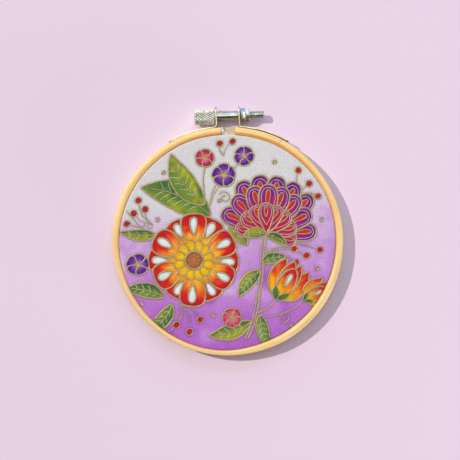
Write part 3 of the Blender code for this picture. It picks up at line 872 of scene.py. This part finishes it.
def put_dye(piece, colour):
    """Stores sRGB colours on a piece's points, made linear."""
    layer = piece.data.attributes.new("dye", "FLOAT_COLOR", "POINT")
    layer.data.foreach_set("color", linear(colour).ravel())


put_dye(cloth, colour)
cloth.data.attributes.new("line_gap", "FLOAT", "POINT").data.foreach_set("value", line_gap)
if cloth.data.polygons[0].normal.z < 0:
    cloth.data.flip_normals()
body = cloth.modifiers.new("thickness", "SOLIDIFY")
body.thickness = CLOTH_THICKNESS * MM
body.offset = -1.0
body.material_offset = 1
body.material_offset_rim = 1
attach(cloth, "hoop")
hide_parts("cloth")

# ------------------------------------------------------------------ resist lines
# Gold gutta from a fine nozzle: a raised, slightly uneven bead of metallic paint that stands on
# the cloth. Thinner clear gutta leaves pale lines inside the petals and leaves.

GOLD_HEIGHT, CLEAR_HEIGHT = 0.2, 0.08


def bead(run, width, height):
    """A closed bead along a line: at each station a flattened circle, round at its two ends, and
    swelling and thinning by up to two fifths on its way as the nozzle slows and hurries."""
    place = run_along(run)
    total = place[-1]
    half = width / 2
    near_end = half * np.array([0.0, 0.12, 0.4])
    stations = np.concatenate([near_end, np.linspace(half, total - half, len(run)), total - near_end[::-1]])
    centre = np.stack([np.interp(stations, place, run[:, k]) for k in (0, 1)], 1)
    heading = np.gradient(centre, axis=0)
    heading /= np.linalg.norm(heading, axis=1)[:, None] + 1e-12
    side = np.stack([-heading[:, 1], heading[:, 0]], 1)
    from_end = np.minimum(stations, total - stations)
    taper = np.sqrt(np.clip(1 - (1 - np.minimum(from_end / half, 1)) ** 2, 0, 1))
    swell = 1 + 0.5 * (mottle(*centre.T, 2.4, 41) - 0.5) + 0.3 * (mottle(*centre.T, 0.9, 42) - 0.5)
    turn = np.radians([0, 35, 65, 90, 115, 145, 180, 270])
    off = (half * taper * swell)[:, None] * np.cos(turn)
    up = (height * taper * swell)[:, None] * np.where(np.sin(turn) > 0, np.sin(turn), -0.25)
    out = np.clip(np.hypot(*centre.T) - FACE_R, 0, FOLD_R)
    drop = FOLD_R - np.sqrt(FOLD_R**2 - out**2)
    xy = centre[:, None] + off[..., None] * side[:, None]
    z = CLOTH_FACE - drop[:, None] + up
    return np.concatenate([xy, z[..., None]], -1)


def points_of(mesh):
    """A mesh's points in millimetres from the hoop's middle."""
    place = np.empty(len(mesh.vertices) * 3, np.float32)
    mesh.vertices.foreach_get("co", place)
    return (place.reshape(-1, 3) - hoop_centre) / MM


def beads(name, runs, height, material):
    """All the beads of one paint as one piece, which carries the dye's colour under it. A run
    that is shorter than it is wide is left out."""
    points, faces, first = [], [], 0
    for run, width in runs:
        if run_along(run)[-1] < 0.99 * width:
            continue
        grid = bead(run, width, height)
        quads, _, _ = grid_faces(len(grid), 8, False, True)
        points.append(grid.reshape(-1, 3))
        faces.append(quads + first)
        first += len(points[-1])
    made = mesh_piece(name, np.concatenate(points), faces, [material], merge=True, sharp=180.0)
    put_dye(made, dyed(points_of(made.data)[:, :2]))
    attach(made, "hoop")
    return made


# Gold gutta: dull khaki gold, half metallic, with a fine glitter of flakes 0.5 mm apart.
gold_gutta, tree = new_material("gold_gutta")
place = add(tree, "TexCoord").outputs["Object"]
flakes = add(tree, "TexNoise", {"Vector": place, "Scale": 1 / (0.5 * MM), "Detail": 3.0, "Roughness": 0.7})
tones = add(tree, "ValToRGB", {"Fac": flakes}, [(0.3, "#8E7E54"), (0.7, "#C4B286")])
bump = add(tree, "Bump", {"Height": flakes, "Strength": 0.4, "Distance": 0.06 * MM})
surface(tree, {"Base Color": tones, "Metallic": 0.35, "Roughness": 0.45, "Normal": bump})
gold_beads = beads("gold_resist_lines", gold_runs, GOLD_HEIGHT, gold_gutta)

# Clear gutta: a thin dull film over cotton that the dye has only tinted, in patches of 2 mm.
clear_gutta, tree = new_material("clear_gutta")
dye = add(tree, "Attribute", attribute_name="dye").outputs["Color"]
place = add(tree, "TexCoord").outputs["Object"]
cloudy = add(tree, "TexNoise", {"Vector": place, "Scale": 1 / (2 * MM), "Detail": 2.0})
ends = {"From Min": 0.3, "From Max": 0.7, "To Min": 0.4, "To Max": 0.7}
kept_off = add(tree, "MapRange", {"Value": cloudy, **ends})
tint = add(tree, "Mix", {"Factor": kept_off, 6: dye, 7: linear("#DDD3CC")}, data_type="RGBA")
surface(tree, {"Base Color": tint, "Roughness": 0.6})
clear_beads = beads("clear_resist_lines", clear_runs, CLEAR_HEIGHT, clear_gutta)

# ------------------------------------------------------------------ outer ring
# A strip of bamboo bent round the inner ring and split at the top, its front rounded over, with
# clear lacquer. Its two ends are sawn square and their edges broken.

OUTER_INSIDE_R = CLOTH_R + SNUG
OUTER_DEPTH = 8.5
FRONT_ROUNDING_IN, FRONT_ROUNDING_OUT = 1.5, 1.0
HALF_GAP = 3.3
END_EASE = 0.3
# Grey painted shade for the ring's outer wall
OUTER_WALL_PAINTED_SHADE = "#C8CDD6"
JOINT_AT = 26.5  # the bamboo's own joint, clockwise from the top
JOINT_SLANT = 0.35  # how far the joint's line runs along the strip for each step across it
JOINT_OFF = 3.5  # where its line starts, on along the strip from there
JOINT_HALF_WIDTH = 0.9

section = ring_section(OUTER_INSIDE_R, OUTER_R, OUTER_DEPTH, FRONT_ROUNDING_IN, FRONT_ROUNDING_OUT)
section = np.roll(section, 3, axis=0)
share = np.linspace(0, 1, RING_STATIONS)
end_share = END_EASE / (math.tau * OUTER_R) * np.array([0.0, 0.25, 0.6])
share = np.concatenate([end_share, share[1:-1], 1 - end_share[::-1]])
inset = np.zeros(len(share))
inset[:3] = inset[:-4:-1] = END_EASE * np.array([1.0, 0.4, 0.08])
towards = np.array([(OUTER_INSIDE_R + OUTER_R) / 2, OUTER_DEPTH / 2]) - section
shrink = np.minimum(np.abs(towards), 1.0) * np.sign(towards)
profile = section + inset[:, None, None] * shrink
start = np.arcsin(HALF_GAP / profile[..., 0])
angle = start + share[:, None] * (math.tau - 2 * start)
points = carried_round(profile, angle)
stations, sides = points.shape[:2]
faces, row, column = grid_faces(stations, sides, False, True)
along = share * math.tau * OUTER_R
uv = np.stack([along[row], run_round(section)[column]], -1)
points = points.reshape(-1, 3)
caps, cap_uv = [], []
for end in (0, stations - 1):
    edge = np.arange(sides) + end * sides
    centre = len(points)
    points = np.vstack([points, points[edge].mean(0)])
    cap = np.stack([edge, np.roll(edge, -1), np.full(sides, centre)], 1)
    caps.append(cap if end else cap[:, ::-1])
    cap_uv.append(points[caps[-1]][..., 1:])
uv = np.concatenate([part.reshape(-1, 2) for part in (uv, *cap_uv)])

# Lacquered bamboo: pale straw yellow, fine tan fibres and a soft clear gloss. Round its section
# the colour carries painted light and shade: grey painted shade on the outer wall, a pale painted
# highlight on the crest of its front, and on the wall towards the cloth warm painted shade near
# the two ends, warmer than at the picture's foot, where it has pale painted light instead.
lacquered_bamboo, tree = new_material("lacquered_bamboo")
strip, colour, relief = bamboo_grain(tree, "#FFE9AC", "#F9D790", "#E8BB76")
along_and_across = add(tree, "SeparateXYZ", {"Vector": strip})
along, across = along_and_across.outputs[:2]
whole = run_round(section)[-1] * MM
round_section = add(tree, "Math", {0: across, 1: 1 / whole}, operation="MULTIPLY")
tones = []
# Two sets of painted light and shade round the section: the first, near the ends, has warm painted shade on
# the inner wall and a white painted highlight on the crest; the second, at the foot, has pale painted light
# on the inner wall.
for wall, edge, top, crest in (
    ("#FACB94", "#FCCC8A", "#FDEBCC", "#FFFFFF"),
    ("#FFEBD2", "#FFF6EA", "#FCF2E8", "#FBF1EA"),
):
    shaded = [(0.0, wall), (0.3, OUTER_WALL_PAINTED_SHADE), (0.57, OUTER_WALL_PAINTED_SHADE), (0.62, "#FFF8EC")]
    lit = [(0.69, crest), (0.72, top), (0.745, edge), (0.8, wall), (1.0, wall)]
    tones.append(add(tree, "ValToRGB", {"Fac": round_section}, shaded + lit))
half_round = math.pi * OUTER_R * MM
from_foot = add(tree, "Math", {0: along, 1: half_round}, operation="SUBTRACT")
from_foot = add(tree, "Math", {0: from_foot}, operation="ABSOLUTE")
ends = {"From Min": 0.45 * half_round, "From Max": 0.85 * half_round}
painted_shade_near_ends = add(tree, "MapRange", {"Value": from_foot, **ends})
# Painted shade near the ends, painted light at the picture's foot
side = add(tree, "Mix", {"Factor": painted_shade_near_ends, 6: tones[1], 7: tones[0]}, data_type="RGBA")
warm = {"data_type": "RGBA", "blend_type": "MULTIPLY"}
colour = add(tree, "Mix", {"Factor": 1.0, 6: colour, 7: side}, **warm)
slant = add(tree, "Math", {0: across, 1: JOINT_SLANT, 2: along}, operation="MULTIPLY_ADD")
joint = (math.radians(JOINT_AT) * OUTER_R + JOINT_OFF) * MM
away = add(tree, "Math", {0: slant, 1: joint}, operation="SUBTRACT")
away = add(tree, "Math", {0: away}, operation="ABSOLUTE")
ends = {"From Min": JOINT_HALF_WIDTH * MM, "From Max": JOINT_HALF_WIDTH * MM / 3, "To Max": 0.3}
near = add(tree, "MapRange", {"Value": away, **ends})
colour = add(tree, "Mix", {"Factor": near, 6: colour, 7: linear("#BF8547")}, data_type="RGBA")
lacquer = {"Roughness": 0.45, "Coat Weight": 0.3, "Coat Roughness": 0.3}
surface(tree, {"Base Color": colour, "Normal": relief, **lacquer})

# Sawn bamboo: the cut ends of the fibre bundles, 0.7 mm apart, show as brown dots on tan.
sawn_bamboo, tree = new_material("sawn_bamboo_ends")
place = add(tree, "TexCoord").outputs["Object"]
dots = add(tree, "TexVoronoi", {"Vector": place, "Scale": 1 / (0.7 * MM)})
tones = add(tree, "ValToRGB", {"Fac": dots}, [(0.15, "#A8743C"), (0.4, "#DDB378")])
surface(tree, {"Base Color": tones, "Roughness": 0.7})

bamboos = [lacquered_bamboo, sawn_bamboo]
outer_ring = mesh_piece("bamboo_outer_ring", points, [faces, *caps], bamboos, uv)
sawn = np.zeros(len(outer_ring.data.polygons), np.int32)
sawn[len(faces) :] = 1
outer_ring.data.polygons.foreach_set("material_index", sawn)
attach(outer_ring, "hoop")
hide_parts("outer_ring")

# ------------------------------------------------------------------ straps, rivets and nut
# Two straps pressed from thin nickel-plated steel strip, each held to the ring by a domed rivet
# and bent up as an ear, and a zinc-plated nut with a round collar against the right ear.

STRAP_GAP = 0.27  # how far a strap is drawn in, to close the solids' clearance to the wood
RIVET_GAP = 0.57  # the same for a rivet's head, which has a clearance to the strap besides
RIVET_FLAT = 0.35  # share of its height that the hammered head keeps
STRAP_TOP = 55.2  # radius between the straps on the ring and the rivets' heads
COLLAR_FROM = 8.4  # where the nut's turned collar begins, right of the hoop's middle
# The nut's lower side is painted in another tone: painted reflection and shade.
PAINTED_TONE_FROM, PAINTED_TONE_TO = 56.2, 53.0  # in the frame's Y, where the nut's plating turns to its lower tone
EASED_BEND = 32.0  # edges that bend by more than this are rounded


def plated(name, colour, roughness, wear, low=None):
    """Plated steel: bright metal whose gloss is broken by faint scuffs about 0.4 mm wide, and
    that is darker in patches of 4 mm where fingers have been. low is a painted tone, of
    reflection and shade, that the plating turns to on its lower side, towards the ring."""
    made, tree = new_material(name)
    place = add(tree, "TexCoord").outputs["Object"]
    scuffs = {"Vector": place, "Scale": 1 / (0.4 * MM), "Detail": 4.0, "Roughness": 0.65}
    scuffs = add(tree, "TexNoise", scuffs)
    touched = add(tree, "TexNoise", {"Vector": place, "Scale": 1 / (4 * MM), "Detail": 2.0})
    tint = add(tree, "ValToRGB", {"Fac": touched}, [(0.32, wear), (0.58, colour)])
    ends = {"From Min": 0.3, "From Max": 0.7, "To Min": roughness - 0.08, "To Max": roughness + 0.12}
    gloss = add(tree, "MapRange", {"Value": scuffs, **ends})
    bump = add(tree, "Bump", {"Height": scuffs, "Strength": 0.15, "Distance": 0.03 * MM})
    # The lower side painted in its own tone: painted reflection and shade
    if low:
        y = add(tree, "SeparateXYZ", {"Vector": place}).outputs[1]
        ends = {"From Min": PAINTED_TONE_FROM * MM, "From Max": PAINTED_TONE_TO * MM}
        down = add(tree, "MapRange", {"Value": y, **ends})
        tint = add(tree, "Mix", {"Factor": down, 6: tint, 7: linear(low)}, data_type="RGBA")
    surface(tree, {"Base Color": tint, "Metallic": 1.0, "Roughness": gloss, "Normal": bump})
    return made


def eased_copy(node, name, material, ease, fitted=None):
    """A copy of a CAD node with its loose triangles merged, its flat faces made whole and its
    edges rounded by ease, as pressed and turned steel has them. fitted moves its points, in
    millimetres from the hoop's middle, up against the wood."""
    made = frame["nodes"][node].data.copy()
    made.name = name
    shape = bmesh.new()
    shape.from_mesh(made)
    bmesh.ops.remove_doubles(shape, verts=shape.verts, dist=2e-6)
    flat = math.radians(0.6)
    bmesh.ops.dissolve_limit(
        shape, angle_limit=flat, verts=shape.verts, edges=shape.edges, delimit={"NORMAL"}
    )
    shape.to_mesh(made)
    shape.free()
    if fitted:
        moved = fitted(points_of(made)) * MM + hoop_centre
        made.vertices.foreach_set("co", moved.ravel())
    made.materials.clear()
    made.materials.append(material)
    made.shade_smooth()
    obj = place_object(name, made)
    rounding = obj.modifiers.new("eased_edges", "BEVEL")
    rounding.width = ease * MM
    rounding.segments = 2
    rounding.limit_method = "ANGLE"
    rounding.angle_limit = math.radians(EASED_BEND)
    rounding.harden_normals = True
    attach(obj, "hoop")
    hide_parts(node)
    return obj


def against_wood(points, close):
    """The points of a strap drawn in by close along the ring, and by nothing up at the ear."""
    r = np.hypot(points[:, 0], points[:, 1])
    drawn_in = close * np.interp(r, [STRAP_TOP, STILL_OUTSIDE], [1, 0])
    return settled(scaled_out(points, 1 - drawn_in / r))


def left_strap_fit(points):
    """The left strap lies tight on the wood all along."""
    return against_wood(points, STRAP_GAP)


def right_strap_fit(points):
    """The right strap lies on the wood at its foot and stands a little off it from there on."""
    from_top = np.degrees(np.arctan2(points[:, 0], points[:, 1]))
    return against_wood(points, np.interp(from_top, [6, 10, 24, 32], [STRAP_GAP, 0.0, -0.1, 0.0]))


def rivet_fit(points):
    """A rivet whose head is hammered low against the strap."""
    r = np.hypot(points[:, 0], points[:, 1])
    above = np.maximum(r - STRAP_TOP, 0)
    drawn_in = above * (1 - RIVET_FLAT) + np.where(above > 0, RIVET_GAP, 0)
    return settled(scaled_out(points, 1 - drawn_in / r))


strip_steel = plated("nickel_plated_strip", "#DDD3BC", 0.36, "#C9BB98")
# The nut's lower side is painted warm tan, a painted reflection.
zinc_steel = plated("zinc_plated_steel", "#A6E0F4", 0.27, "#A8CCDC", "#F0DCC0")
for side, fit in (("left", left_strap_fit), ("right", right_strap_fit)):
    eased_copy(f"strap_{side}", f"steel_strap_{side}", strip_steel, 0.12, fit)
for side in ("left", "right"):
    eased_copy(f"rivet_{side}", f"steel_rivet_{side}", strip_steel, 0.05, rivet_fit)
nut = eased_copy("clamp_nut", "zinc_nut", zinc_steel, 0.12)
# The collar's lower side is painted darker, a painted shade.
nut.data.materials.append(plated("turned_zinc_plate", "#FFFDF0", 0.34, "#F4ECCE", "#C4BEA4"))
middles = np.empty(len(nut.data.polygons) * 3, np.float32)
nut.data.polygons.foreach_get("center", middles)
on_collar = (middles[::3] - hoop_centre[0]) / MM > COLLAR_FROM
nut.data.polygons.foreach_set("material_index", on_collar.astype(np.int32))

# ------------------------------------------------------------------ clamp screw
# One turned steel screw, nickel-plated: a knurled head to grip, a plain shank between the two
# ears and a thread through the nut. It turns about its own axis.

HEAD_R, HEAD_FROM, HEAD_TO = 3.7, -15.65, -6.05
HEAD_CHAMFER = 0.5
KNURLS_ROUND = 20
KNURL_PITCH = 1.75  # along the head, from one diamond to the next
KNURL_DEPTH = 0.34
SHANK_R, SHOULDER, SHOULDER_EASE = 2.25, 4.85, 0.15
SHANK_INSIDE_HEAD = 0.4
THREAD_R, THREAD_TO = 1.72, 17.2
THREAD_PITCH, THREAD_DEPTH = 0.5, 0.25
THREAD_RUN_IN, TIP_EASE = 0.8, 0.4
STEP = 1e-4  # between the two stations of a square shoulder or end

screw_joint = frame["joints"][0]
screw_middle = np.array(screw_joint["pos_m"]) / MM - hoop_centre / MM
screw_way = np.array(screw_joint["axis"], float)
screw_way /= np.linalg.norm(screw_way)
UP = np.array([0.0, 0.0, 1.0])
screw_side = np.cross(UP, screw_way)


def turned_piece(name, along, radius, sides, material):
    """A shape turned on the screw's axis: radius is a function of place along the axis and of
    angle, as arrays, and is nothing at both ends."""
    angle = np.arange(sides) * math.tau / sides
    x, turn = np.meshgrid(along, angle, indexing="ij")
    r = radius(x, turn)
    r[0] = r[-1] = 0.0
    x, r, turn = x[..., None], r[..., None], turn[..., None]
    points = screw_middle + x * screw_way + r * np.cos(turn) * screw_side + r * np.sin(turn) * UP
    faces, _, _ = grid_faces(len(along), sides, False, True)
    made = mesh_piece(name, points.reshape(-1, 3), [faces], [material], merge=True, sharp=38.0)
    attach(made, "screw")
    return made


def knurl(x, turn):
    """How high the knurl stands, from 0 to 1: low four-sided points between two sets of crossing
    V grooves, cut off just below their tips."""
    laps = [turn / math.tau * KNURLS_ROUND + way * x / KNURL_PITCH for way in (1, -1)]
    groove = [np.abs(lap - np.round(lap)) for lap in laps]
    return np.clip(np.minimum(*groove) / 0.44, 0, 1)


def knurled_head(x, turn):
    """Radius of the head: the knurl, which fades out at the two chamfers."""
    from_end = np.minimum(x - HEAD_FROM, HEAD_TO - x)
    body = HEAD_R - np.clip(HEAD_CHAMFER - from_end, 0, HEAD_CHAMFER)
    sink = KNURL_DEPTH * (1 - knurl(x, turn))
    return np.minimum(body, HEAD_R - sink * np.clip(from_end / 0.25, 0, 1))


def shaft(x, turn):
    """Radius of the shank and, past its shoulder, of the thread: a helical V groove whose depth
    fades in over the first turns, and an eased tip."""
    lap = x / THREAD_PITCH - turn / math.tau
    flank = 1 - np.abs(lap - np.floor(lap) - 0.5) * 2
    groove = np.clip(1.8 * flank - 0.8, 0, 1) * np.clip((x - SHOULDER) / THREAD_RUN_IN, 0, 1)
    tip = THREAD_R - np.clip(x - (THREAD_TO - TIP_EASE), 0, TIP_EASE)
    shank = SHANK_R - np.clip(SHOULDER_EASE - (SHOULDER - x), 0, SHOULDER_EASE)
    return np.where(x <= SHOULDER, shank, np.minimum(THREAD_R - THREAD_DEPTH * groove, tip))


screw_steel = plated("nickel_plated_screw", "#CDD1C6", 0.28, "#AEB2A4")

# The knurled grip: the same plating, dull from the knurling tool, painted darker in its grooves
# as painted shade, its tone shifted again in random patches of 1.2 mm.
gripped_steel, tree = new_material("knurled_nickel_plate")
stand = add(tree, "Attribute", attribute_name="stand").outputs["Fac"]
place = add(tree, "TexCoord").outputs["Object"]
touched = add(tree, "TexNoise", {"Vector": place, "Scale": 1 / (1.2 * MM), "Detail": 3.0})
# Painted shade: the lower the knurl stands, the darker
bright = add(tree, "Math", {0: stand, 1: touched}, operation="ADD")
bright = add(tree, "Math", {0: bright, 1: 0.5}, operation="SUBTRACT")
tones = add(tree, "ValToRGB", {"Fac": bright}, [(0.1, "#9CA196"), (0.5, "#F3F5E8")])
surface(tree, {"Base Color": tones, "Metallic": 0.85, "Roughness": 0.58})

knurled = np.linspace(HEAD_FROM, HEAD_TO, 120)
along = np.concatenate([[HEAD_FROM - STEP], knurled, [HEAD_TO + STEP]])
head = turned_piece("screw_head", along, knurled_head, 240, gripped_steel)
place = points_of(head.data) - screw_middle
x = place @ screw_way
on_side = np.clip(np.minimum(x - HEAD_FROM, HEAD_TO - x) / 0.2, 0, 1)
stand = 1 - (1 - knurl(x, np.arctan2(place[:, 2], place @ screw_side))) * on_side
head.data.attributes.new("stand", "FLOAT", "POINT").data.foreach_set("value", stand)
hidden = HEAD_TO - SHANK_INSIDE_HEAD
along = np.concatenate(
    [
        [hidden, hidden + STEP],
        np.linspace(hidden + 0.1, SHOULDER - SHOULDER_EASE, 12),
        [SHOULDER, SHOULDER + 10 * STEP],
        np.linspace(SHOULDER + 0.05, THREAD_TO, 320),
        [THREAD_TO + STEP],
    ]
)
shank_and_thread = turned_piece("screw_shaft", along, shaft, 48, screw_steel)
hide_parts("clamp_screw")
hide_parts("clamp_screw")
